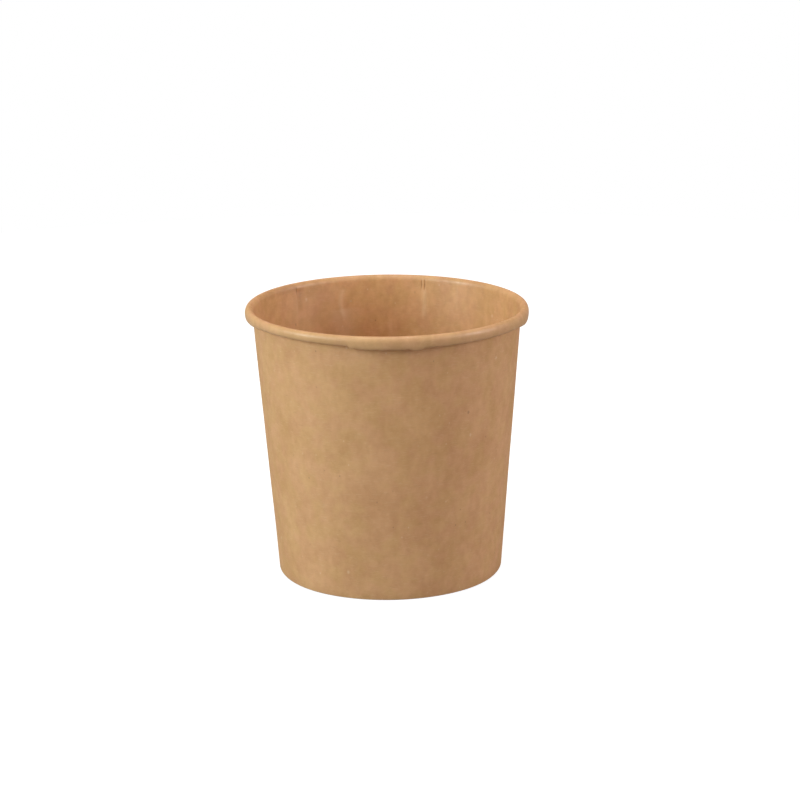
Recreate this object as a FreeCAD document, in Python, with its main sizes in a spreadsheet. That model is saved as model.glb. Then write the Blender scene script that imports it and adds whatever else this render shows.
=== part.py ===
import FreeCAD, Part
import math
import os

import Sketcher

# Paper ice cream tub: a conical side wall of thin board with a rolled rim and a folded foot,
# and a flat base disc whose down-turned skirt is glued inside the fold.
# Millimetres, +Z up, the tub stands on z = 0 with its axis on the Z axis.
# The front of the tub faces -Y.

# Driving sizes: name, value, what it is
DRIVING = (
    ("rim_diameter", 90.0, "outside of the rolled rim"),
    ("foot_diameter", 72.2, "outside of the wall where it meets the ground"),
    ("tub_height", 86.4, "ground to the top of the rim"),
    ("board", 0.35, "thickness of the wall board"),
    ("base_board", 0.35, "thickness of the base board"),
    ("curl_width", 2.75, "rolled rim, across"),
    ("curl_height", 3.75, "rolled rim, top to bottom"),
    ("curl_gap", 0.1, "between the rolled end of the board and the wall"),
    ("hem_height", 5.5, "ground to the top edge of the folded-in foot"),
    ("base_recess", 6.5, "ground to the underside of the base disc"),
    ("base_bend", 1.2, "outside radius of the bend round the base disc"),
    ("glue_line", 0.05, "between glued faces of wall, skirt and hem"),
    ("lap_width", 7.0, "overlap of the side seam, half way up the wall"),
    ("seam_azimuth", 132.0, "where the inner edge of the side seam lies, from +X"),
)

# Worked-out sizes: name and formula in the driving sizes
DERIVED = (
    ("rim_radius", "rim_diameter / 2"),
    ("foot_radius", "foot_diameter / 2"),
    ("roll_radius", "curl_width / 2"),
    ("roll_centre_x", "rim_radius - roll_radius"),
    ("roll_centre_z", "tub_height - roll_radius"),
    ("roll_reach", "sqrt((roll_centre_x - foot_radius) ^ 2 + roll_centre_z ^ 2)"),
    ("lean", "atan((roll_centre_x - foot_radius) / roll_centre_z)"
             " - asin((roll_radius - board) / roll_reach)"),
    ("inner_foot_radius", "foot_radius - board / cos(lean)"),
    ("pocket_width", "base_board + 2 * glue_line"),
    ("skirt_low", "2 * board + glue_line"),
    ("skirt_low_radius", "inner_foot_radius + skirt_low * tan(lean) - glue_line / cos(lean)"),
    ("middle_radius", "(rim_radius + foot_radius) / 2"),
    ("lap_angle", "lap_width / middle_radius * 180 / pi * 1deg"),
    ("lap_azimuth", "seam_azimuth * 1deg + lap_angle / 2"),
)

# Flat bands that stand for each round bend of the board
ROLL_BANDS = 6
ROLL_HOLLOW_BANDS = 3
UNDER_BANDS = 4
UNDER_HOLLOW_BANDS = 3
BASE_BEND_BANDS = 2
BASE_HOLLOW_BANDS = 1

START, END, CENTRE = 1, 2, 3
HORIZONTAL_AXIS, VERTICAL_AXIS = -1, -2
ORIGIN = (-1, 1)


def make_sheet(doc):
    """The spreadsheet that holds every size, one row each."""
    sheet = doc.addObject("Spreadsheet::Sheet", "Sizes")
    row = 1
    for name, value, meaning in DRIVING:
        sheet.set(f"A{row}", name)
        sheet.set(f"B{row}", str(value))
        sheet.setAlias(f"B{row}", name)
        sheet.set(f"C{row}", meaning)
        row += 1
    doc.recompute()
    for name, formula in DERIVED:
        sheet.set(f"A{row}", name)
        sheet.set(f"B{row}", f"={formula}")
        sheet.setAlias(f"B{row}", name)
        doc.recompute()
        row += 1
    return sheet


def size(sheet, name):
    """A size from the sheet as a plain number: millimetres, or degrees for an angle."""
    value = getattr(sheet, name)
    return getattr(value, "Value", value)


class Profile:
    """A sketch on a body's XZ plane, drawn in a frame that leans with the tub's wall.

    u is the distance outward from the wall's inner face and v the distance up along it.
    These places only start the sketch off: its constraints, bound to the sheet, set the shape.
    """

    def __init__(self, body, name, sheet):
        self.sketch = body.newObject("Sketcher::SketchObject", name)
        plane = next(f for f in body.Origin.OriginFeatures if f.Role == "XZ_Plane")
        self.sketch.AttachmentSupport = [(plane, "")]
        self.sketch.MapMode = "FlatFace"
        self.lean = math.radians(size(sheet, "lean"))
        self.foot = FreeCAD.Vector(size(sheet, "inner_foot_radius"), 0, 0)
        self.up = FreeCAD.Vector(math.sin(self.lean), math.cos(self.lean), 0)
        self.out = FreeCAD.Vector(math.cos(self.lean), -math.sin(self.lean), 0)

    def at(self, u, v):
        return self.foot + self.out * u + self.up * v

    def at_height(self, u, height):
        """The point at distance u from the wall's inner face that is this high."""
        return self.at(u, (height + u * math.sin(self.lean)) / math.cos(self.lean))

    def line(self, start, end):
        return self.sketch.addGeometry(Part.LineSegment(start, end), False)

    def arc(self, centre, radius, first, last):
        """An arc drawn anticlockwise from angle first to angle last, in degrees."""
        circle = Part.Circle(centre, FreeCAD.Vector(0, 0, 1), radius)
        arc = Part.ArcOfCircle(circle, math.radians(first), math.radians(last))
        return self.sketch.addGeometry(arc, False)

    def rule(self, kind, *args):
        return self.sketch.addConstraint(Sketcher.Constraint(kind, *args))

    def bind(self, name, formula, kind, *args):
        """A constraint with a size of its own, bound to the sheet."""
        index = self.rule(kind, *args)
        self.sketch.renameConstraint(index, name)
        self.sketch.setExpression(f"Constraints.{name}", formula)

    def join(self, *pairs):
        for first, first_point, second, second_point in pairs:
            self.rule("Coincident", first, first_point, second, second_point)

    def blend(self, *pairs):
        for first, first_point, second, second_point in pairs:
            self.rule("Tangent", first, first_point, second, second_point)

    def flatten(self, arc, count):
        """Draw equal flat bands with their corners on an arc, which then only guides them."""
        curve = self.sketch.Geometry[arc]
        self.sketch.toggleConstruction(arc)
        step = (curve.LastParameter - curve.FirstParameter) / count
        corners = [curve.value(curve.FirstParameter + i * step) for i in range(count + 1)]
        bands = [self.line(start, end) for start, end in zip(corners, corners[1:])]
        for band, following in zip(bands, bands[1:]):
            self.join((band, END, following, START))
            self.rule("PointOnObject", band, END, arc)
            self.rule("Equal", band, following)
        self.join((bands[0], START, arc, START), (bands[-1], END, arc, END))

    def finish(self, doc):
        doc.recompute()
        if self.sketch.solve() != 0 or not self.sketch.FullyConstrained:
            raise RuntimeError(f"sketch {self.sketch.Name} is not fully constrained")
        return self.sketch


def draw_wall(doc, body, sheet, name, layers):
    """Section of the wall from the hem, round the foot, up the wall and round the roll.

    The board is one layer thick, or two where the ends of the sheet overlap at the side seam.
    """
    p = Profile(body, name, sheet)
    tilt = size(sheet, "lean")
    thick = layers * size(sheet, "board")
    roll = size(sheet, "roll_radius")
    gap = size(sheet, "curl_gap")
    pocket = size(sheet, "pocket_width")
    hem = size(sheet, "hem_height")
    under = roll - (thick + gap) / 2
    roll_v = size(sheet, "roll_centre_z") / math.cos(p.lean)
    under_v = roll_v - (size(sheet, "curl_height") - roll - under)
    roll_centre = p.at(roll, roll_v)
    under_centre = p.at(2 * roll - under, under_v)
    hem_in = -pocket - thick
    drop = 2 * roll - thick

    hem_face = p.line(p.at(hem_in, hem), p.at_height(hem_in, 0))
    ground = p.line(p.at_height(hem_in, 0), p.at_height(thick, 0))
    wall_out = p.line(p.at_height(thick, 0), p.at(thick, roll_v))
    roll_in = p.arc(roll_centre, roll - thick, -tilt, 180 - tilt)
    drop_in = p.line(p.at(drop, roll_v), p.at(drop, under_v))
    under_in = p.arc(under_centre, under - thick, 180 - tilt, 360 - tilt)
    roll_end = p.line(p.at(2 * thick + gap, under_v), p.at(thick + gap, under_v))
    under_out = p.arc(under_centre, under, 180 - tilt, 360 - tilt)
    drop_out = p.line(p.at(2 * roll, under_v), p.at(2 * roll, roll_v))
    roll_out = p.arc(roll_centre, roll, -tilt, 180 - tilt)
    wall_in = p.line(p.at(0, roll_v), p.at_height(0, thick))
    pocket_floor = p.line(p.at_height(0, thick), p.at_height(-pocket, thick))
    hem_back = p.line(p.at_height(-pocket, thick), p.at(-pocket, hem))
    hem_edge = p.line(p.at(-pocket, hem), p.at(hem_in, hem))

    p.blend(
        (wall_out, END, roll_in, END),
        (roll_in, START, drop_in, START),
        (drop_in, END, under_in, END),
        (under_out, END, drop_out, START),
        (drop_out, END, roll_out, START),
        (roll_out, END, wall_in, START),
    )
    p.join(
        (hem_face, END, ground, START),
        (ground, END, wall_out, START),
        (under_in, START, roll_end, START),
        (roll_end, END, under_out, START),
        (wall_in, END, pocket_floor, START),
        (pocket_floor, END, hem_back, START),
        (hem_back, END, hem_edge, START),
        (hem_edge, END, hem_face, START),
        (roll_in, CENTRE, roll_out, CENTRE),
        (under_in, CENTRE, under_out, CENTRE),
    )
    p.rule("Horizontal", ground)
    p.rule("Horizontal", pocket_floor)
    p.rule("PointOnObject", ground, START, HORIZONTAL_AXIS)
    for leg in (hem_face, drop_out, wall_in, hem_back):
        p.rule("Parallel", leg, wall_out)
    for edge in (roll_end, hem_edge):
        p.rule("Perpendicular", edge, wall_out)
    p.rule("PointOnObject", under_out, CENTRE, roll_end)

    board = f"{layers} * Sizes.board"
    below = f"(Sizes.curl_width - {board} - Sizes.curl_gap) / 2"
    p.bind("roll_x", "Sizes.roll_centre_x", "DistanceX", *ORIGIN, roll_out, CENTRE, roll_centre.x)
    p.bind("roll_z", "Sizes.roll_centre_z", "DistanceY", *ORIGIN, roll_out, CENTRE, roll_centre.y)
    p.bind("roll_face", "Sizes.roll_radius", "Radius", roll_out, roll)
    p.bind("roll_hollow", f"Sizes.roll_radius - {board}", "Radius", roll_in, roll - thick)
    p.bind("under_face", below, "Radius", under_out, under)
    p.bind("under_hollow", f"{below} - {board}", "Radius", under_in, under - thick)
    p.bind("drop", f"Sizes.curl_height - Sizes.roll_radius - {below}", "Distance", drop_out,
           roll_v - under_v)
    p.bind("lean", "90deg - Sizes.lean", "Angle", HORIZONTAL_AXIS, START, wall_out, START,
           math.pi / 2 - p.lean)
    p.bind("floor_rise", board, "DistanceY", *ORIGIN, pocket_floor, START, thick)
    p.bind("pocket", "Sizes.pocket_width", "Distance", hem_back, START, wall_in, pocket)
    p.bind("hem_board", board, "Distance", hem_face, START, hem_back, thick)
    p.bind("hem_rise", "Sizes.hem_height", "DistanceY", *ORIGIN, hem_edge, START,
           p.at(-pocket, hem).y)

    p.flatten(roll_out, ROLL_BANDS)
    p.flatten(roll_in, ROLL_HOLLOW_BANDS)
    p.flatten(under_out, UNDER_BANDS)
    p.flatten(under_in, UNDER_HOLLOW_BANDS)
    return p.finish(doc)


def draw_disc(doc, body, sheet):
    """Half section of the base disc with its down-turned skirt."""
    p = Profile(body, "DiscSection", sheet)
    tilt = size(sheet, "lean")
    board = size(sheet, "base_board")
    bend = size(sheet, "base_bend")
    glue = size(sheet, "glue_line")
    low = size(sheet, "skirt_low")
    under = size(sheet, "base_recess")
    centre = p.at_height(-glue - bend, under + board - bend)
    side = centre + p.out * bend
    inside = centre + p.out * (bend - board)
    crown = FreeCAD.Vector(0, bend, 0) + centre
    hollow = FreeCAD.Vector(0, bend - board, 0) + centre

    underside = p.line(FreeCAD.Vector(0, under, 0), hollow)
    bend_in = p.arc(centre, bend - board, -tilt, 90)
    skirt_in = p.line(inside, p.at_height(-glue - board, low))
    skirt_end = p.line(p.at_height(-glue - board, low), p.at_height(-glue, low))
    skirt_out = p.line(p.at_height(-glue, low), side)
    bend_out = p.arc(centre, bend, -tilt, 90)
    top = p.line(crown, FreeCAD.Vector(0, under + board, 0))
    axis = p.line(FreeCAD.Vector(0, under + board, 0), FreeCAD.Vector(0, under, 0))

    p.blend(
        (underside, END, bend_in, END),
        (bend_in, START, skirt_in, START),
        (skirt_out, END, bend_out, START),
        (bend_out, END, top, START),
    )
    p.join(
        (skirt_in, END, skirt_end, START),
        (skirt_end, END, skirt_out, START),
        (top, END, axis, START),
        (axis, END, underside, START),
        (bend_in, CENTRE, bend_out, CENTRE),
    )
    p.rule("Horizontal", underside)
    p.rule("Horizontal", top)
    p.rule("PointOnObject", axis, START, VERTICAL_AXIS)
    p.rule("PointOnObject", axis, END, VERTICAL_AXIS)
    p.rule("Parallel", skirt_in, skirt_out)
    p.rule("Perpendicular", skirt_end, skirt_out)
    p.bind("bend_face", "Sizes.base_bend", "Radius", bend_out, bend)
    p.bind("bend_hollow", "Sizes.base_bend - Sizes.base_board", "Radius", bend_in, bend - board)
    p.bind("lean", "90deg - Sizes.lean", "Angle", HORIZONTAL_AXIS, START, skirt_out, START,
           math.pi / 2 - p.lean)
    p.bind("recess", "Sizes.base_recess", "DistanceY", *ORIGIN, axis, END, under)
    p.bind("skirt_low", "Sizes.skirt_low", "DistanceY", *ORIGIN, skirt_out, START, low)
    p.bind("skirt_reach", "Sizes.skirt_low_radius", "DistanceX", *ORIGIN, skirt_out, START,
           size(sheet, "skirt_low_radius"))

    p.flatten(bend_out, BASE_BEND_BANDS)
    p.flatten(bend_in, BASE_HOLLOW_BANDS)
    return p.finish(doc)


def spin(doc, body, name, sketch, angle, azimuth):
    """Sweep a section round the tub's axis by an angle, evenly to both sides of an azimuth."""
    sketch.AttachmentOffset = FreeCAD.Placement(
        FreeCAD.Vector(0, 0, 0), FreeCAD.Rotation(FreeCAD.Vector(0, 1, 0), 1))
    sketch.setExpression("AttachmentOffset.Rotation.Angle", azimuth)
    feature = body.newObject("PartDesign::Revolution", name)
    feature.Profile = sketch
    feature.ReferenceAxis = (sketch, ["V_Axis"])
    feature.Midplane = True
    feature.Refine = False
    feature.setExpression("Angle", angle)
    sketch.Visibility = False
    doc.recompute()
    return feature


def make_body(doc, label):
    body = doc.addObject("PartDesign::Body", label)
    body.Label = label
    body.Placement = FreeCAD.Placement()
    doc.recompute()
    return body


def make_tub_wall(doc, sheet):
    """The side wall: one sheet, rolled out at the rim, folded in at the foot, lapped once."""
    body = make_body(doc, "tub_wall")
    single = draw_wall(doc, body, sheet, "WallSection", 1)
    spin(doc, body, "WallShell", single, "360deg - Sizes.lap_angle", "Sizes.lap_azimuth + 180deg")
    double = draw_wall(doc, body, sheet, "LapSection", 2)
    spin(doc, body, "SeamLap", double, "Sizes.lap_angle", "Sizes.lap_azimuth")
    return body


def make_base_disc(doc, sheet):
    """The base: a flat disc set up inside the foot, its edge turned down into the fold."""
    body = make_body(doc, "base_disc")
    spin(doc, body, "DiscShell", draw_disc(doc, body, sheet), "360deg", "Sizes.lap_azimuth")
    return body


def check(doc, bodies):
    """Stop before anything is written if an object failed or a piece is not one whole solid."""
    for item in doc.Objects:
        if "Invalid" in item.State or "Error" in item.State:
            raise RuntimeError(f"{item.Name} failed: {item.State}")
    for body in bodies:
        shape = body.Shape
        if shape.isNull() or not shape.isValid() or len(shape.Solids) != 1:
            raise RuntimeError(f"{body.Label} is not one valid solid")


def main():
    doc = FreeCAD.newDocument("PaperTub")
    sheet = make_sheet(doc)
    bodies = [make_tub_wall(doc, sheet), make_base_disc(doc, sheet)]
    doc.recompute()
    check(doc, bodies)
    os.makedirs("parts", exist_ok=True)
    for body in bodies:
        body.Shape.exportStep(f"parts/{body.Label}.step")
        print(f"{body.Label}: {body.Shape.Volume:.1f} mm3, {len(body.Shape.Faces)} faces")


main()
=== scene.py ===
import math

import bpy
from mathutils import Matrix, Vector, noise


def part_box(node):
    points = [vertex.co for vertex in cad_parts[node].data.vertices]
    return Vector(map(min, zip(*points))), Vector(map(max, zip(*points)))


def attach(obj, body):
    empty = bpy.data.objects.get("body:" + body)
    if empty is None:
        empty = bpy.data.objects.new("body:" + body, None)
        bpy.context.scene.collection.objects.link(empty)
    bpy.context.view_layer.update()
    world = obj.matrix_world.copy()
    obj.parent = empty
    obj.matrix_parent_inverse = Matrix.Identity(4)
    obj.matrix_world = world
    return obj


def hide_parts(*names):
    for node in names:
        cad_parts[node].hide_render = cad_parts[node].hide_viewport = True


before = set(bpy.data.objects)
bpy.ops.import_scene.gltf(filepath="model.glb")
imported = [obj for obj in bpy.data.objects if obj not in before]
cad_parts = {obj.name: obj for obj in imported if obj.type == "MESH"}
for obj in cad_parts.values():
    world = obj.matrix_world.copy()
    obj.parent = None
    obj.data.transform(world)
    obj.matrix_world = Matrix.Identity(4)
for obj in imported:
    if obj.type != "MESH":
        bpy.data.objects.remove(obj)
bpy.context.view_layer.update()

# Paper ice cream tub, +Z up, with the front facing -Y. Lengths are in millimetres up to the
# point where a mesh, the floor, a lamp or the camera is placed, which is in metres.
# A front azimuth is 0 at the front, grows towards +X (the viewer's right) and is 180 at the back.

MM = 0.001
low_corner, high_corner = (Vector(corner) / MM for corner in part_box("tub_wall"))

# Sizes of the tub, in millimetres
RIM_RADIUS = (high_corner.x - low_corner.x) / 2
HEIGHT = high_corner.z
FOOT_RADIUS = 36.1
BOARD = 0.35
ROLL_WIDTH = 2.75
ROLL_GAP = 0.08
HEM_HEIGHT = 5.5
BASE_UNDERSIDE = 6.5
BASE_BEND = 1.2
GLUE_LINE = 0.05
LAP_WIDTH = 7.0

# The roll is widest this far below its top, and lower at both sides, where it droops
ROLL_WIDEST = 1.75
ROLL_DROOP = 0.72
ROLL_FULLNESS = 2.4

# Past the seam's inner edge the step eases off over this many degrees, and ends here
SEAM_EASE = 3.0
SEAM_REACH = 60

# Front azimuths, in degrees, of what the photograph shows
SEAM_INNER_EDGE = -135.0
CREASE = 163.0
PALE_STREAK = -159.8
LIP_LEFT = -15.0
LIP_RIGHT = 15.8
NUB = 11.5

# The rim stands a little lower on the viewer's right, and a little higher at the back
RIM_TILT = -0.0059
BACK_RISE = 0.20

# Height of the rolled rim, as (azimuth, height)
ROLL_HEIGHTS = (
    (-180, 3.7),
    (-110, 3.8),
    (-88, 4.1),
    (-74, 3.6),
    (-60, 3.0),
    (-30, 3.0),
    (LIP_LEFT - 0.6, 3.2),
    (LIP_LEFT + 0.6, 4.05),
    (0, 4.25),
    (LIP_RIGHT - 2.0, 4.2),
    (LIP_RIGHT + 2.5, 3.85),
    (35, 3.75),
    (62, 3.95),
    (80, 4.9),
    (98, 4.7),
    (125, 3.9),
    (180, 3.7),
)

# Where the roll droops, as (azimuth, half-width, share)
ROLL_DROOPS = ((76, 24, 1.0), (-74, 22, 0.6))

# Where the foot stands out, as (azimuth, half-width, distance)
FOOT_BULGES = ((-48, 22, 0.30), (50, 20, 0.33))

# Small bumps (+) and nicks (-) in the rolled rim's lower edge, as (azimuth, half-width, depth)
LIP_MARKS = (
    (NUB, 1.7, 0.48),
    (14.6, 0.6, -0.18),
    (8.0, 0.9, -0.24),
    (-4.2, 0.8, -0.30),
    (0.6, 0.7, -0.16),
    (-12.6, 0.9, -0.20),
    (-41.0, 1.2, 0.12),
    (-55.0, 1.6, -0.10),
    (31.0, 2.2, 0.08),
)

# Marks in the coated face, as (azimuth, half-width in degrees, bow, low z, high z, tone).
# They are soft streaks, painted shadow at the seam's cut edge and in the crease's grooves, and
# broad painted light and shade over the inside of the wall.
# A tone above 0 is paler than the board around it, and below 0 is darker.
COATED_STREAKS_AND_PAINTED_LIGHT = (
    # Painted shadow at the seam's cut edge and in a patch beside it, with a pale line under it
    (SEAM_INNER_EDGE - 0.25, 0.30, 0.0, 83.2, 85.6, -1.0),
    (SEAM_INNER_EDGE - 0.15, 0.22, 0.0, 75.0, 83.0, 0.45),
    (SEAM_INNER_EDGE - 2.4, 1.3, 0.0, 78.0, 85.0, -0.35),
    (PALE_STREAK, 1.2, 1.6, 73.5, 82.6, 0.40),
    (PALE_STREAK + 2.4, 1.2, 1.6, 74.0, 82.0, -0.12),
    # Painted shade in the crease's two grooves, then a pale streak under them and a darker one
    # beside
    (CREASE - 0.75, 0.26, 0.0, 82.2, 85.0, -0.8),
    (CREASE + 0.75, 0.26, 0.0, 82.6, 85.0, -0.7),
    (CREASE - 0.6, 1.1, -0.4, 73.0, 81.6, 0.36),
    (CREASE + 2.2, 1.5, 0.0, 70.0, 80.0, -0.18),
    (146.0, 0.8, 0.3, 76.0, 84.0, 0.25),
    (139.5, 0.5, 0.0, 78.0, 84.5, -0.30),
    (128.0, 0.9, 0.4, 72.0, 82.0, 0.25),
    (-171.0, 1.4, -0.8, 68.0, 78.0, -0.12),
    (178.0, 1.0, 0.6, 66.0, 80.0, 0.20),
    # Broad painted light and shade over the inside, paler to the back left, darker to the back
    # right
    (178.0, 6.0, 0.0, 72.0, 83.0, -0.17),
    (-156.0, 3.5, 0.0, 72.0, 84.0, 0.16),
    (-160.0, 6.0, 0.0, 61.0, 76.0, 0.42),
    (164.0, 4.0, 0.0, 66.0, 82.0, 0.08),
    (134.0, 14.0, 0.0, 60.0, 88.0, -0.13),
    (-138.0, 11.0, 0.0, 60.0, 82.0, 0.14),
)

# The wall's lean, from the rim and the foot
ROLL_RADIUS = ROLL_WIDTH / 2
ROLL_CENTRE_R = RIM_RADIUS - ROLL_RADIUS
ROLL_CENTRE_Z = HEIGHT - ROLL_RADIUS
LEAN = (
    math.atan((ROLL_CENTRE_R - FOOT_RADIUS) / ROLL_CENTRE_Z)
    - math.asin((ROLL_RADIUS - BOARD) / math.hypot(ROLL_CENTRE_R - FOOT_RADIUS, ROLL_CENTRE_Z))
)
INNER_FOOT = FOOT_RADIUS - BOARD / math.cos(LEAN)
POCKET = BOARD + 2 * GLUE_LINE

OUTSIDE, COATED, EDGE = range(3)


def smooth(value, low, high):
    """0 below low, 1 above high, with an even ease between."""
    x = min(max((value - low) / (high - low), 0.0), 1.0)
    return x * x * (3 - 2 * x)


def bell(value, centre, width):
    """1 at the centre, falling off evenly to both sides."""
    return math.exp(-(((value - centre) / width) ** 2))


def bumps(azimuth, table):
    """The sum of a table's bumps, (azimuth, half-width, size), at one azimuth."""
    return sum(size * bell(azimuth, at, wide) for at, wide, size in table)


def turn_between(a, b):
    """The signed angle from b to a, from -180 to 180 degrees."""
    return (a - b + 180) % 360 - 180


def lift(u, height):
    """How far up the leaning wall a point at distance u from it stands at this height."""
    return (height + u * math.sin(LEAN)) / math.cos(LEAN)


def roll_height(azimuth):
    """The rolled rim's height at an azimuth, with the marks in its lower edge."""
    for (a, high), (b, following) in zip(ROLL_HEIGHTS, ROLL_HEIGHTS[1:]):
        if a <= azimuth <= b:
            high += (following - high) * smooth(azimuth, a, b)
            return high + bumps(azimuth, LIP_MARKS)
    return ROLL_HEIGHTS[0][1]


def wander(azimuth, height, scale, seed):
    """Smooth noise from -1 to 1 that closes on itself round the tub."""
    a = math.radians(azimuth)
    up = height * scale / 40 + seed
    return noise.noise(Vector((math.cos(a) * scale, math.sin(a) * scale, up)))


def column_azimuths():
    """Even columns, with close ones where an edge, a step or a crease runs up the wall."""
    angles = {round(i * 1.0 - 180, 3) for i in range(360)}
    close = (
        (SEAM_INNER_EDGE, 3.0, 0.3),
        (seam_outer_edge(), 2.0, 0.4),
        (CREASE, 3.6, 0.15),
        (PALE_STREAK, 3.0, 0.5),
        (LIP_LEFT, 2.0, 0.4),
        (LIP_RIGHT, 2.4, 0.4),
        (NUB, 1.6, 0.2),
    )
    for centre, reach, step in close:
        count = int(round(2 * reach / step))
        for i in range(count + 1):
            angles.add(round(turn_between(centre - reach + i * step, 0), 3))
    for edge in (SEAM_INNER_EDGE, seam_outer_edge()):
        angles.discard(round(edge, 3))
        angles.add(round(edge - 0.02, 3))
        angles.add(round(edge + 0.02, 3))
    return sorted(angles)


def seam_outer_edge():
    """The side seam's free edge on the outside, nearer to the front than the inner edge."""
    return SEAM_INNER_EDGE + math.degrees(LAP_WIDTH / ((RIM_RADIUS + FOOT_RADIUS) / 2))


def lap_reach(azimuth):
    """How far an azimuth lies past the inner edge, as a share of the overlap."""
    return turn_between(azimuth, SEAM_INNER_EDGE) / turn_between(seam_outer_edge(), SEAM_INNER_EDGE)


def inner_shift(azimuth):
    """Distance outward of the inner face: none on the inner layer, a step past its cut edge."""
    past = -turn_between(azimuth, SEAM_INNER_EDGE)
    if past <= 0 or past > SEAM_REACH:
        return 0.0
    return BOARD * 0.9 * math.exp(-past / SEAM_EASE)


def outer_shift(azimuth):
    """Distance outward of the outer face: a full layer on the overlap, easing off past it."""
    if 0 <= lap_reach(azimuth) <= 1:
        return BOARD
    past = -turn_between(azimuth, SEAM_INNER_EDGE)
    if 0 < past < SEAM_REACH:
        return BOARD * math.exp(-past / SEAM_EASE)
    return 0.0


def inside_relief(azimuth, height):
    """Small folds in the inner face, as a height: two creases and soft ridges under them."""
    relief = 0.0
    from_crease = turn_between(azimuth, CREASE)
    if abs(from_crease) < 8:
        fold = bell(from_crease, -0.75, 0.26) + 0.8 * bell(from_crease, 0.75, 0.26)
        relief -= 0.16 * fold * smooth(height, 81.6, 82.6) * (1 - smooth(height, 84.6, 85.6))
        relief += 0.07 * bell(from_crease, -0.6, 0.9) * smooth(height, 70, 75) * (
            1 - smooth(height, 80, 82))
    from_streak = turn_between(azimuth, PALE_STREAK)
    if abs(from_streak) < 8:
        bow = 1.6 * math.sin((height - 70) / 14 * math.pi)
        relief += 0.07 * bell(from_streak, bow, 0.8) * smooth(height, 70, 74) * (
            1 - smooth(height, 80, 84))
    return relief


def coated_streaks_and_painted_light(azimuth, height, facing_out):
    """How much paler (+) or darker (-) the coated face is painted at a place: its marks with
    painted light and shade, and a painted highlight that makes the roll paler.
    """
    # Painted highlight: the coated face is painted paler where it faces out, over the roll
    tone = 0.16 * smooth(facing_out, -0.4, 0.6)
    over_rim = facing_out > 0.35
    for at, wide, bow, low, high, strength in COATED_STREAKS_AND_PAINTED_LIGHT:
        away = turn_between(azimuth, at)
        if over_rim or abs(away) > 3 * wide + abs(bow):
            continue
        middle = bow * math.sin((height - low) / (high - low) * math.pi)
        ends = smooth(height, low - 1.2, low + 1.2) * (1 - smooth(height, high - 0.5, high + 0.5))
        tone += strength * bell(away, middle, wide) * ends
    past_seam = turn_between(azimuth, SEAM_INNER_EDGE)
    if 0 < past_seam < 40:
        # Painted shade on the roll's inner top beside the seam's inner edge, fading over 34 degrees
        tone -= 0.30 * (1 - smooth(past_seam, 6, 34)) * smooth(height, 83.6, 84.8)
    return max(-1.0, min(1.0, tone))


def oval(angle, fullness):
    """A point of a rounded oval of half-width and half-height 1; 2 is a circle, more is fuller."""
    c, s = math.cos(angle), math.sin(angle)
    size = (abs(c) ** fullness + abs(s) ** fullness) ** (-1 / fullness)
    return c * size, s * size


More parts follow.
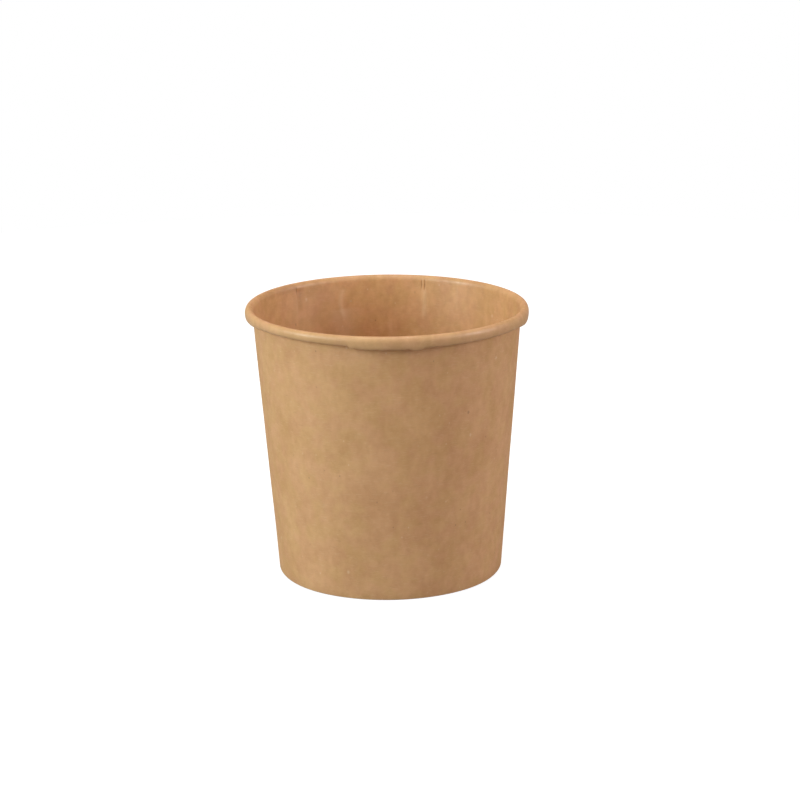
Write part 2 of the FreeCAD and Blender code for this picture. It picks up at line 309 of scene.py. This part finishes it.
def section(azimuth):
    """One section of the wall board as rows of (u, v, normal u, normal v, face kind).

    u runs outward from the inner face and v up along it. The rows go down the hem's near face,
    round the fold, up the outside, round inside the roll, back under and over it, down the
    inside and up the hem's far face.
    """
    outer = BOARD + outer_shift(azimuth)
    inner = inner_shift(azimuth)
    high = roll_height(azimuth) + 0.08 * wander(azimuth, 0, 6, 3)
    width = ROLL_WIDTH + 0.05 * wander(azimuth, 0, 3, 9)
    radius = width / 2
    droop = bumps(azimuth, ROLL_DROOPS)
    rise = min(ROLL_WIDEST, 0.47 * high) + ROLL_DROOP * droop
    fullness = ROLL_FULLNESS + 0.6 * droop
    fall = high - rise
    roll_v = HEIGHT / math.cos(LEAN) - rise
    under = (width - BOARD - ROLL_GAP) / 2
    hem_rows, fold_rows, wall_rows = 3, 4, 34
    hollow_rows, under_rows, over_rows = 8, 20, 18
    fine_rows, coarse_rows = 26, 20
    fine_length = 14.0
    rows = []

    def add(u, v, nu, nv, kind):
        rows.append((u, v, nu, nv, kind))

    hem_in = -POCKET - BOARD
    for i in range(hem_rows + 1):
        height = HEM_HEIGHT + (BOARD - HEM_HEIGHT) * i / hem_rows
        add(hem_in, lift(hem_in, height), -1, 0, OUTSIDE)
    for i in range(1, fold_rows + 1):
        a = math.pi + math.pi / 2 * i / fold_rows
        u = hem_in + BOARD + BOARD * math.cos(a)
        add(u, lift(u, BOARD + BOARD * math.sin(a)), math.cos(a), math.sin(a), OUTSIDE)
    for i in range(fold_rows + 1):
        a = math.pi * 1.5 + math.pi / 2 * i / fold_rows
        u = outer - BOARD + BOARD * math.cos(a)
        add(u, lift(u, BOARD + BOARD * math.sin(a)), math.cos(a), math.sin(a), OUTSIDE)
    for i in range(1, wall_rows + 1):
        add(outer, BOARD + (roll_v - BOARD) * i / wall_rows, 1, 0, OUTSIDE)
    for i in range(1, hollow_rows + 1):
        a = math.pi * (1 - i / hollow_rows)
        add(radius + (radius - outer) * math.cos(a), roll_v + (rise - BOARD) * math.sin(a),
            -math.cos(a), -math.sin(a), OUTSIDE)
    centre = width - under
    for i in range(1, hollow_rows + 1):
        across, down = oval(-math.pi * i / hollow_rows, fullness)
        add(centre + (under - BOARD) * across, roll_v + (fall - BOARD) * down, -across, -down,
            OUTSIDE)
    for i in range(under_rows + 1):
        across, down = oval(-math.pi * (1 - i / under_rows), fullness)
        add(centre + under * across, roll_v + fall * down, across, down,
            COATED if i else EDGE)
    for i in range(1, over_rows + 1):
        a = math.pi * i / over_rows
        add(radius + radius * math.cos(a), roll_v + rise * math.sin(a), math.cos(a),
            math.sin(a), COATED)
    for i in range(1, fine_rows + 1):
        add(inner * smooth(i, 0, 2), roll_v - fine_length * i / fine_rows, -1, 0, COATED)
    rest = roll_v - fine_length - lift(0, BOARD)
    for i in range(1, coarse_rows + 1):
        add(inner, roll_v - fine_length - rest * i / coarse_rows, -1, 0, COATED)
    add(-POCKET, lift(-POCKET, BOARD), 1, 0, COATED)
    add(-POCKET, lift(-POCKET, (BOARD + HEM_HEIGHT) / 2), 1, 0, COATED)
    add(-POCKET, lift(-POCKET, HEM_HEIGHT), 1, 0, EDGE)
    return rows


def place(azimuth, u, v):
    """A point of the leaning section as a point in space, in millimetres."""
    r = INNER_FOOT + u * math.cos(LEAN) + v * math.sin(LEAN)
    z = v * math.cos(LEAN) - u * math.sin(LEAN)
    wave = 0.10 * wander(azimuth, z, 1.6, 0) + 0.035 * wander(azimuth, z, 5, 20)
    bulge = bumps(azimuth, FOOT_BULGES)
    r += wave * smooth(z, 0, 20) + bulge * (1 - smooth(z, 2, 16))
    a = math.radians(azimuth)
    x, y = r * math.sin(a), -r * math.cos(a)
    z += (RIM_TILT * x + BACK_RISE * (1 - math.cos(a)) / 2) * (max(z, 0) / HEIGHT) ** 2
    return Vector((x, y, z))


def make_wall_mesh():
    """The whole side wall as one closed skin, column by column round the tub."""
    azimuths = column_azimuths()
    vertices, kinds, lengths, streak_and_light_tones = [], [], [], []
    for azimuth in azimuths:
        ring = section(azimuth)
        kinds = [row[4] for row in ring]
        travelled = 0.0
        track = []
        for index, (u, v, nu, nv, kind) in enumerate(ring):
            point = place(azimuth, u, v)
            if kind == COATED and (nu < -0.2 or nv > 0.2):
                relief = inside_relief(azimuth, point.z)
                if relief:
                    point = place(azimuth, u + nu * relief, v + nv * relief)
            if index:
                travelled += math.hypot(u - ring[index - 1][0], v - ring[index - 1][1])
            track.append(travelled)
            vertices.append(point * MM)
            streak_and_light_tones.append(coated_streaks_and_painted_light(azimuth, point.z, nu) if kind == COATED else 0.0)
        lengths.append(track)
    faces, slots, corners = [], [], []
    count = len(azimuths)
    rows = len(kinds)
    for i in range(count):
        j = (i + 1) % count
        for k in range(rows):
            m = (k + 1) % rows
            faces.append((i * rows + k, j * rows + k, j * rows + m, i * rows + m))
            slots.append(kinds[m])
            first = azimuths[i]
            second = azimuths[j] if j else azimuths[j] + 360
            high = lengths[i][m] if m else lengths[i][k] + BOARD
            corners.append((
                (first, lengths[i][k]), (second, lengths[j][k]),
                (second, high), (first, high),
            ))
    return build_mesh("tub_wall_sheet", vertices, faces, slots, corners, streak_and_light_tones)


def build_mesh(name, vertices, faces, slots, corners, streak_and_light_tones):
    """A smooth mesh with sheet coordinates in metres: round the tub, and along the board."""
    mesh = bpy.data.meshes.new(name)
    mesh.from_pydata([tuple(v) for v in vertices], [], faces)
    layer = mesh.uv_layers.new(name="sheet")
    middle = (RIM_RADIUS + FOOT_RADIUS) / 2
    index = 0
    for face in corners:
        for azimuth, along in face:
            layer.data[index].uv = (math.radians(azimuth) * middle * MM, along * MM)
            index += 1
    # The tone attribute carries the coated face's streaks with its painted light and shade
    mesh.attributes.new("tone", "FLOAT", "POINT").data.foreach_set("value", streak_and_light_tones)
    mesh.polygons.foreach_set("material_index", slots)
    mesh.polygons.foreach_set("use_smooth", [True] * len(faces))
    mesh.validate()
    mesh.update()
    mesh.set_sharp_from_angle(angle=math.radians(40))
    piece = bpy.data.objects.new(name, mesh)
    bpy.context.scene.collection.objects.link(piece)
    return piece


def make_disc_mesh():
    """The base disc: gently dished, with a bent edge that puckers a little into its skirt."""
    columns = 240
    centre_u = -GLUE_LINE - BASE_BEND
    top = BASE_UNDERSIDE + BOARD
    bend_v = lift(centre_u, top - BASE_BEND)
    flat_r = INNER_FOOT + centre_u * math.cos(LEAN) + bend_v * math.sin(LEAN)
    turn = math.pi / 2 + LEAN
    skirt_low = 2 * BOARD + GLUE_LINE
    shares = [0.0, 0.06, 0.2, 0.4, 0.6, 0.75, 0.86, 0.93, 0.97, 1.0]

    # Rows from the middle of the top, over the bend and the skirt, to the middle of the
    # underside, as (radius, height, face kind, 1 where it may sag and pucker)
    rows = []

    def arc(radius, i, count):
        a = math.pi / 2 - turn * i / count
        return flat_r + radius * math.cos(a), top - BASE_BEND + radius * math.sin(a)

    for share in shares:
        rows.append((flat_r * share, top, COATED, 1))
    for i in range(1, 7):
        rows.append((*arc(BASE_BEND, i, 6), COATED, 1))
    side_r, side_z = arc(BASE_BEND, 1, 1)
    drop = side_z - skirt_low
    for i in range(1, 5):
        z = side_z - drop * i / 4
        rows.append((side_r - drop * i / 4 * math.tan(LEAN), z, COATED, 0))
    inner_r = side_r - BOARD / math.cos(LEAN)
    for i in range(5):
        z = skirt_low + (top - BASE_BEND - skirt_low) * i / 4
        rows.append((inner_r - (side_z - z) * math.tan(LEAN), z, OUTSIDE if i else EDGE, 0))
    for i in range(1, 6):
        rows.append((*arc(BASE_BEND - BOARD, 5 - i, 5), OUTSIDE, 1))
    for share in reversed(shares[:-1]):
        rows.append((flat_r * share, BASE_UNDERSIDE, OUTSIDE, 1))

    faces, slots, corners = [], [], []
    tracks = [0.0]
    for one, two in zip(rows, rows[1:]):
        tracks.append(tracks[-1] + math.hypot(two[0] - one[0], two[1] - one[1]))
    vertices = [Vector((0, 0, rows[0][1])) * MM]
    for i in range(columns):
        azimuth = i * 360 / columns - 180
        a = math.radians(azimuth)
        for r, z, kind, free in rows[1:-1]:
            share = r / flat_r
            sag = -0.22 * (1 - share * share) if share < 1 else 0.0
            ripple = 0.05 * wander(azimuth, 0, 2.0 + share, 40) * share
            pucker = 0.045 * math.sin(a * 96 + 2 * wander(azimuth, 0, 8, 50))
            pucker *= smooth(share, 0.93, 1.0) * free
            z += (sag + ripple + pucker) * free
            vertices.append(Vector((r * math.sin(a), -r * math.cos(a), z)) * MM)
    tip = len(vertices)
    vertices.append(Vector((0, 0, rows[-1][1])) * MM)
    band = len(rows) - 2
    for i in range(columns):
        j = (i + 1) % columns
        start, end = i * 360 / columns, (i + 1) * 360 / columns
        for k in range(band - 1):
            a, b = 1 + i * band + k, 1 + j * band + k
            faces.append((a, a + 1, b + 1, b))
            slots.append(rows[k + 2][2])
            near, far = tracks[k + 1], tracks[k + 2]
            corners.append(((start, near), (start, far), (end, far), (end, near)))
        faces.append((0, 1 + i * band, 1 + j * band))
        slots.append(COATED)
        corners.append(((start, 0), (start, tracks[1]), (end, tracks[1])))
        faces.append((tip, (j + 1) * band, (i + 1) * band))
        slots.append(OUTSIDE)
        corners.append(((start, tracks[-1]), (end, tracks[-2]), (start, tracks[-2])))
    return build_mesh("base_disc_sheet", vertices, faces, slots, corners, [0.0] * len(vertices))


class Nodes:
    """Short calls to lay out a material's nodes and links."""

    def __init__(self, name):
        self.material = bpy.data.materials.new(name)
        self.material.use_nodes = True
        self.tree = self.material.node_tree
        self.tree.nodes.clear()

    def add(self, kind, **settings):
        node = self.tree.nodes.new(kind)
        for key, value in settings.items():
            setattr(node, key, value)
        return node

    def link(self, source, target):
        self.tree.links.new(source, target)

    def maths(self, operation, first, second, clamp=False):
        node = self.add("ShaderNodeMath", operation=operation, use_clamp=clamp)
        for socket, value in zip(node.inputs, (first, second)):
            if isinstance(value, (int, float)):
                socket.default_value = value
            else:
                self.link(value, socket)
        return node.outputs[0]

    def spread(self, value, low, high, to_low, to_high, smoothly=True):
        node = self.add("ShaderNodeMapRange")
        if smoothly:
            node.interpolation_type = "SMOOTHSTEP"
        self.link(value, node.inputs["Value"])
        for key, number in (("From Min", low), ("From Max", high), ("To Min", to_low),
                            ("To Max", to_high)):
            node.inputs[key].default_value = number
        return node.outputs["Result"]

    def noise(self, where, scale, detail=2.0, roughness=0.5, distortion=0.0):
        node = self.add("ShaderNodeTexNoise")
        self.link(where, node.inputs["Vector"])
        node.inputs["Scale"].default_value = scale
        node.inputs["Detail"].default_value = detail
        node.inputs["Roughness"].default_value = roughness
        node.inputs["Distortion"].default_value = distortion
        return node.outputs["Fac"]

    def stretched(self, where, angle, scale, offset=0.0):
        node = self.add("ShaderNodeMapping")
        self.link(where, node.inputs["Vector"])
        node.inputs["Rotation"].default_value = (0, 0, math.radians(angle))
        node.inputs["Scale"].default_value = scale
        node.inputs["Location"].default_value = (offset, offset * 0.37, 0)
        return node.outputs["Vector"]

    def mix(self, share, first, second, blend="MIX"):
        node = self.add("ShaderNodeMix", data_type="RGBA", blend_type=blend)
        for socket, value in ((node.inputs[0], share), (node.inputs[6], first),
                              (node.inputs[7], second)):
            if isinstance(value, (int, float, tuple)):
                socket.default_value = value
            else:
                self.link(value, socket)
        return node.outputs[2]


# Fibres in the board, as (direction in degrees, offset of their pattern)
PALE_FIBRES = ((8, 0.0), (-27, 0.13), (41, 0.29), (-68, 0.41), (84, 0.57))
DARK_FIBRES = ((57, 0.83), (-14, 0.91), (97, 0.37))


def lay_fibres(n, flat, directions, scale, low, high):
    """A mask of thin crossing fibres: noise stretched along each direction."""
    fibres = None
    for angle, offset in directions:
        along = n.stretched(flat, angle, scale, offset)
        strand = n.spread(n.noise(along, 1.0, 1.0, 0.4, 0.6), low, high, 0.0, 1.0)
        fibres = strand if fibres is None else n.maths("MAXIMUM", fibres, strand)
    return fibres


def strew_specks(n, solid):
    """Masks of rare dark and pale specks in two sizes."""
    dark_speck, pale_speck = None, None
    for scale, rarity in ((330, 0.985), (620, 0.975)):
        cells = n.add("ShaderNodeTexVoronoi", feature="F1")
        n.link(n.stretched(solid, 0, (1.0, 1.0, 0.7), scale * 0.001), cells.inputs["Vector"])
        cells.inputs["Scale"].default_value = scale
        near = n.spread(cells.outputs["Distance"], 0.05, 0.20, 1.0, 0.0)
        pick = n.add("ShaderNodeSeparateColor")
        n.link(cells.outputs["Color"], pick.inputs["Color"])
        dark = n.maths("MULTIPLY", near, n.maths("GREATER_THAN", pick.outputs[0], rarity))
        pale = n.maths("MULTIPLY", near, n.maths("GREATER_THAN", pick.outputs[1], rarity - 0.05))
        dark_speck = dark if dark_speck is None else n.maths("MAXIMUM", dark_speck, dark)
        pale_speck = pale if pale_speck is None else n.maths("MAXIMUM", pale_speck, pale)
    return dark_speck, pale_speck


def tinted(colour, factors):
    return tuple(min(1.0, c * f) for c, f in zip(colour, factors)) + (1.0,)


def make_kraft(name, colour, roughness, grain, specular, contrast=1.0):
    """Brown kraft board: soft clouds, crossing fibres, rare specks and a fine fibrous surface."""
    n = Nodes(name)
    solid = n.add("ShaderNodeTexCoord").outputs["Object"]
    flat = n.add("ShaderNodeUVMap", uv_map="sheet").outputs["UV"]

    # The tone, from clouds of three sizes
    cloud = n.noise(n.stretched(solid, 0, (1.0, 1.0, 0.74)), 430, 3.0, 0.55)
    patch = n.noise(n.stretched(solid, 0, (1.0, 1.0, 0.8)), 100, 2.0, 0.5)
    pulp = n.noise(n.stretched(solid, 0, (1.0, 1.0, 0.9)), 1250, 2.0, 0.6)
    tone = n.maths("MULTIPLY", n.maths("SUBTRACT", cloud, 0.5), 1.25)
    tone = n.maths("ADD", tone, n.maths("MULTIPLY", n.maths("SUBTRACT", patch, 0.5), 1.45))
    tone = n.maths("ADD", tone, n.maths("MULTIPLY", n.maths("SUBTRACT", pulp, 0.5), 0.30))
    tone = n.maths("MULTIPLY", tone, contrast)

    fibres = lay_fibres(n, flat, PALE_FIBRES, (420, 4200, 1), 0.64, 0.76)
    dark_fibres = lay_fibres(n, flat, DARK_FIBRES, (360, 3000, 1), 0.66, 0.80)
    dark_speck, pale_speck = strew_specks(n, solid)

    # The colour, from the tone, a drift of warmth, the fibres and specks, and the soft streaks
    # with the painted light and shade that the tone attribute carries
    pale = tinted(colour, (1.13, 1.16, 1.21))
    deep = tinted(colour, (0.87, 0.83, 0.77))
    base = n.mix(n.spread(tone, -0.42, 0.42, 0.0, 1.0, False), deep, pale)
    warmth = n.spread(n.noise(solid, 170, 1.0, 0.5), 0.35, 0.65, 0.0, 1.0)
    golden = tinted(colour, (0.99, 1.04, 0.90))
    rosy = tinted(colour, (1.02, 0.95, 1.04))
    base = n.mix(0.35, base, n.mix(warmth, golden, rosy))
    base = n.mix(n.maths("MULTIPLY", fibres, 0.17 * grain), base, (0.80, 0.60, 0.38, 1.0))
    base = n.mix(n.maths("MULTIPLY", dark_fibres, 0.15 * grain), base, (0.33, 0.18, 0.08, 1.0))
    base = n.mix(n.maths("MULTIPLY", dark_speck, 0.40), base, (0.20, 0.10, 0.05, 1.0))
    base = n.mix(n.maths("MULTIPLY", pale_speck, 0.28), base, (0.88, 0.72, 0.50, 1.0))
    # Painted light and shade with the streaks: above 0 the board is painted paler, below 0 darker
    streaks_and_painted_light = n.add("ShaderNodeAttribute", attribute_name="tone").outputs["Fac"]
    base = n.mix(n.maths("MULTIPLY", streaks_and_painted_light, 0.55, True), base, (0.86, 0.64, 0.40, 1.0))
    base = n.mix(n.maths("MULTIPLY", streaks_and_painted_light, -0.60, True), base, (0.22, 0.10, 0.04, 1.0))

    # The fibrous surface
    fine = n.noise(solid, 2600, 2.0, 0.6)
    height = n.maths("ADD", n.maths("MULTIPLY", fine, 0.45), n.maths("MULTIPLY", cloud, 0.9))
    height = n.maths("ADD", height, n.maths("MULTIPLY", fibres, 0.35))
    bump = n.add("ShaderNodeBump")
    bump.inputs["Strength"].default_value = 0.20 * grain
    bump.inputs["Distance"].default_value = 0.00012
    n.link(height, bump.inputs["Height"])

    shader = n.add("ShaderNodeBsdfPrincipled")
    n.link(base, shader.inputs["Base Color"])
    n.link(n.spread(tone, -0.4, 0.4, roughness + 0.07, roughness - 0.07, False),
           shader.inputs["Roughness"])
    n.link(bump.outputs["Normal"], shader.inputs["Normal"])
    shader.inputs["Specular IOR Level"].default_value = specular
    output = n.add("ShaderNodeOutputMaterial")
    n.link(shader.outputs["BSDF"], output.inputs["Surface"])
    return n.material


def make_floor_material():
    """A pale floor that the camera sees as near white, with the object's soft shadow on it."""
    n = Nodes("floor_white")
    diffuse = n.add("ShaderNodeBsdfDiffuse")
    diffuse.inputs["Color"].default_value = (0.30, 0.30, 0.30, 1.0)
    glow = n.add("ShaderNodeEmission")
    path = n.add("ShaderNodeLightPath")
    n.link(n.maths("MULTIPLY", path.outputs["Is Camera Ray"], 0.88), glow.inputs["Strength"])
    both = n.add("ShaderNodeAddShader")
    n.link(diffuse.outputs[0], both.inputs[0])
    n.link(glow.outputs[0], both.inputs[1])
    output = n.add("ShaderNodeOutputMaterial")
    n.link(both.outputs[0], output.inputs["Surface"])
    return n.material


def make_floor():
    """A round floor just under the foot, in metres."""
    radius, corners = 0.62, 96
    ring = [i * math.tau / corners for i in range(corners)]
    mesh = bpy.data.meshes.new("floor")
    mesh.from_pydata([(radius * math.cos(a), radius * math.sin(a), 0) for a in ring], [],
                     [tuple(range(corners))])
    floor = bpy.data.objects.new("floor", mesh)
    floor.location.z = -0.0002
    mesh.materials.append(make_floor_material())
    bpy.context.scene.collection.objects.link(floor)


def make_world(level, colour):
    """Even pale light all round; the camera sees plain white."""
    world = bpy.data.worlds.new("studio")
    bpy.context.scene.world = world
    world.use_nodes = True
    tree = world.node_tree
    tree.nodes.clear()
    path = tree.nodes.new("ShaderNodeLightPath")
    ambient = tree.nodes.new("ShaderNodeBackground")
    ambient.inputs["Color"].default_value = (*colour, 1.0)
    ambient.inputs["Strength"].default_value = level
    white = tree.nodes.new("ShaderNodeBackground")
    white.inputs["Color"].default_value = (1.0, 1.0, 1.0, 1.0)
    white.inputs["Strength"].default_value = 1.0
    pick = tree.nodes.new("ShaderNodeMixShader")
    tree.links.new(path.outputs["Is Camera Ray"], pick.inputs[0])
    tree.links.new(ambient.outputs[0], pick.inputs[1])
    tree.links.new(white.outputs[0], pick.inputs[2])
    output = tree.nodes.new("ShaderNodeOutputWorld")
    tree.links.new(pick.outputs[0], output.inputs["Surface"])


# In metres, the same for all lamps
LAMP_DISTANCE = 1.4
LAMP_SIZE = 0.8


def make_lamp(name, azimuth, elevation, watts, colour=(1, 1, 1), shine=True):
    """A round soft light that looks at the tub, from a front azimuth and a height angle."""
    lamp = bpy.data.lights.new(name, "AREA")
    lamp.shape = "DISK"
    lamp.size = LAMP_SIZE
    lamp.energy = watts
    lamp.color = colour
    holder = bpy.data.objects.new(name, lamp)
    a, e = math.radians(azimuth), math.radians(elevation)
    away = Vector((math.sin(a) * math.cos(e), -math.cos(a) * math.cos(e), math.sin(e)))
    target = Vector((0, 0, HEIGHT * MM / 2))
    holder.location = target + away * LAMP_DISTANCE
    holder.rotation_mode = "QUATERNION"
    holder.rotation_quaternion = (-away).to_track_quat("-Z", "Y")
    holder.visible_glossy = shine
    bpy.context.scene.collection.objects.link(holder)


def make_camera():
    """The photograph's view: 800 pixels across, focal length and place from its outlines."""
    picture_width = 800
    focal_pixels = 2187
    sensor = 36.0
    elevation = math.radians(19.59)
    distance = 717.6 * MM
    target = Vector((3.78, 0, 54.69)) * MM
    roll = math.radians(-0.768)
    place_at = Vector((0, -math.cos(elevation), math.sin(elevation))) * distance
    back = (place_at - target).normalized()
    right = Vector((0, 0, 1)).cross(back).normalized()
    up = back.cross(right)
    tilted_right = right * math.cos(roll) + up * math.sin(roll)
    tilted_up = up * math.cos(roll) - right * math.sin(roll)
    data = bpy.data.cameras.new("camera")
    data.sensor_width = sensor
    data.lens = focal_pixels * sensor / picture_width
    data.clip_start = 0.01
    data.clip_end = 100
    camera = bpy.data.objects.new("camera", data)
    turn = Matrix((tilted_right, tilted_up, back)).transposed()
    camera.matrix_world = Matrix.Translation(place_at) @ turn.to_4x4()
    bpy.context.scene.collection.objects.link(camera)
    bpy.context.scene.camera = camera


# Outside and film-coated faces of the board, and its cut edges
KRAFT = (0.627, 0.354, 0.170)
outside_board = make_kraft("kraft_outside", KRAFT, 0.72, 1.0, 0.30)
coated_board = make_kraft("kraft_coated", (0.610, 0.340, 0.152), 0.45, 0.8, 0.55, 1.45)
cut_board = make_kraft("kraft_cut_edge", (0.66, 0.43, 0.25), 0.85, 1.3, 0.20)

wall = make_wall_mesh()
disc = make_disc_mesh()
for piece in (wall, disc):
    for material in (outside_board, coated_board, cut_board):
        piece.data.materials.append(material)
    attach(piece, "root")
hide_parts("tub_wall")
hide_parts("base_disc")

# Light from all round, the front and the back is warm, and the key on the left is cooler
WARM = (1.0, 0.79, 0.71)
COOL = (0.86, 1.0, 1.0)
make_floor()
make_world(0.30, WARM)
make_lamp("key", -63, 22, 15.2, COOL)
make_lamp("front", -24, 55, 1.6, WARM)
make_lamp("fill", 75, 20, 8.8, (0.96, 0.98, 1.0))
make_lamp("back", 180, 35, 6.0, WARM, shine=False)
make_lamp("top", 0, 84, 5.8)
make_camera()
bpy.context.scene.view_settings.view_transform = "Standard"
